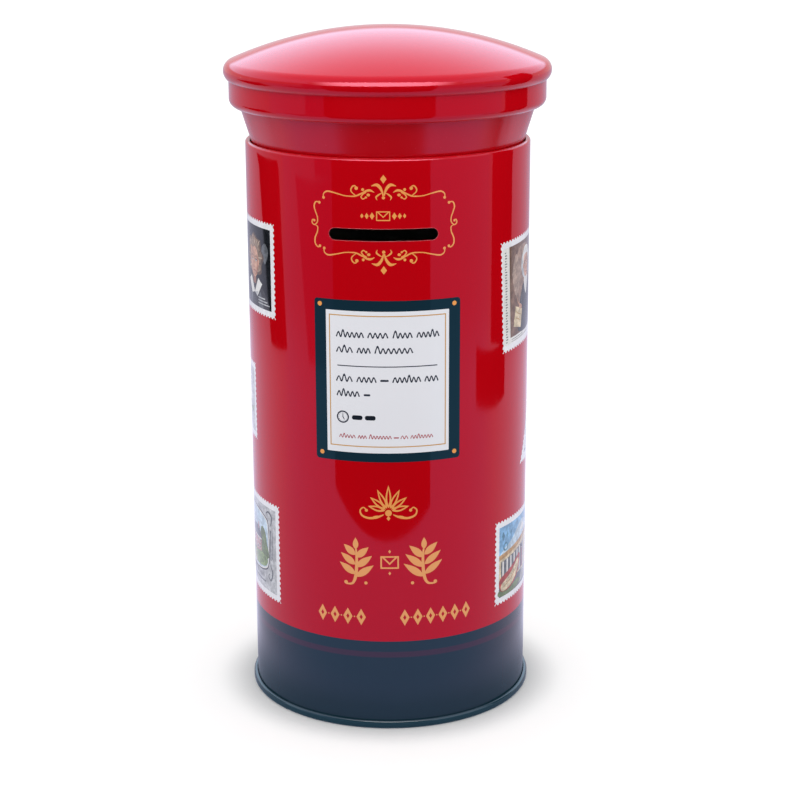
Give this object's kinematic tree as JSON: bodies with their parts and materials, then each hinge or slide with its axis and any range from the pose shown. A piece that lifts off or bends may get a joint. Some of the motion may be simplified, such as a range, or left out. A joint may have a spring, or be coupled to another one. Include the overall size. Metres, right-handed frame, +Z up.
{
  "type": "mailbox",
  "caption": "Round tinplate money box in the shape of a street pillar mailbox, with a letter slot, a seamed foot and a domed lid whose neck plugs into the mouth and lifts off.",
  "frame": {"origin": "centre of the foot ring, on the surface that the tin stands on", "axes": "+Z up along the tin's axis; the letter slot faces -Y and the side seam is at +Y"},
  "size_m": [0.071, 0.071, 0.15],
  "materials": {
    "red_tinplate": "gloss",
    "navy_tinplate": "gloss",
    "lid_red_tinplate": "gloss"
  },
  "bodies": {
    "tin": {"body_tube": "red_tinplate", "base_pan": "navy_tinplate"},
    "lid": {"lid_dome": "lid_red_tinplate", "lid_band": "lid_red_tinplate", "lid_neck": "lid_red_tinplate"}
  },
  "joints": [
    {"name": "lid_lift", "type": "slide", "parent": "tin", "child": "lid", "axis": [0, 0, 1], "range_m": [0, 0.05]}
  ]
}
